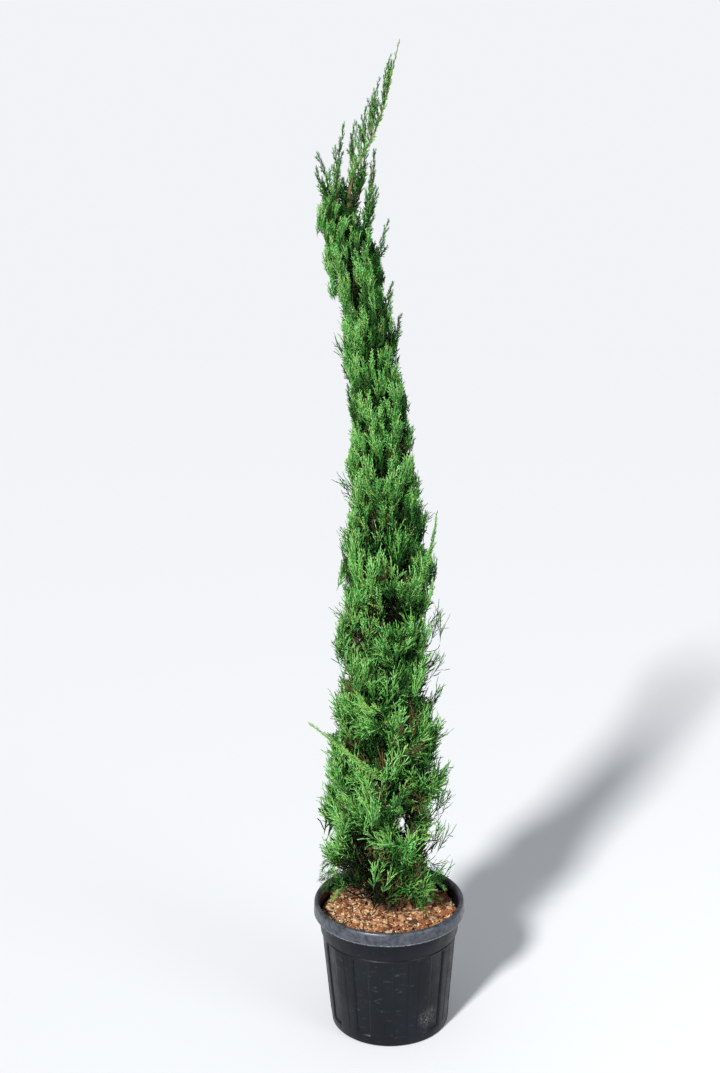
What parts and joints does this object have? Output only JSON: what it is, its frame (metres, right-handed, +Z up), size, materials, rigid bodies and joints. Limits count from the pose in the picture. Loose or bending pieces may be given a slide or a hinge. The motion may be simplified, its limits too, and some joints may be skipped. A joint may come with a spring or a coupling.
{
  "type": "potted spiral topiary conifer",
  "caption": "Slender evergreen conifer clipped into an overgrown left-handed spiral with a leaning open leader, standing in a round black nursery pot topped with bark mulch.",
  "frame": {"origin": "centre of the pot's flat underside", "axes": "+Z up along the plant, -Y the plant's front, +X its right side seen from the front"},
  "size_m": [0.394, 0.394, 2.4823],
  "materials": {
    "pot_plastic": "matte slate-black moulded plastic, greyer on the rubbed rim",
    "bark_mulch": "loose red-brown bark chips and pale grit",
    "bark": "thin fibrous grey-brown bark",
    "foliage": "fine scale-leaved sprays, fresh to deep green",
    "fresh_growth": "soft yellow-green new shoots"
  },
  "bodies": {
    "root": {"bough_01": "bark", "bough_02": "bark", "bough_03": "bark", "bough_04": "bark", "bough_05": "bark", "bough_06": "bark", "bough_07": "bark", "bough_08": "bark", "bough_09": "bark", "bough_10": "bark", "bough_11": "bark", "bough_12": "bark", "bough_13": "bark", "bough_14": "bark", "bough_15": "bark", "bough_16": "bark", "bough_17": "bark", "bough_18": "bark", "bough_19": "bark", "bough_20": "bark", "bough_21": "bark", "bough_22": "bark", "bough_23": "bark", "foliage_01": "foliage", "foliage_02": "foliage", "foliage_03": "foliage", "foliage_04": "foliage", "foliage_05": "foliage", "foliage_06": "foliage", "foliage_07": "foliage", "foliage_08": "foliage", "foliage_09": "foliage", "foliage_10": "foliage", "foliage_11": "foliage", "foliage_12": "foliage", "foliage_13": "foliage", "foliage_14": "foliage", "foliage_15": "foliage", "foliage_16": "foliage", "foliage_17": "foliage", "foliage_18": "foliage", "foliage_19": "foliage", "foliage_20": "foliage", "foliage_21": "foliage", "foliage_22": "foliage", "foliage_23": "foliage", "plume_back": "foliage", "plume_leader_foot": "foliage", "plume_leader_high": "foliage", "plume_leader_low": "foliage", "plume_leader_middle": "foliage", "plume_left_front": "foliage", "plume_left_inner": "foliage", "plume_left_outer": "foliage", "plume_right": "foliage", "pot": "pot_plastic", "shoot_left": "fresh_growth", "shoot_right": "fresh_growth", "soil": "bark_mulch", "trunk": "bark"}
  },
  "joints": []
}
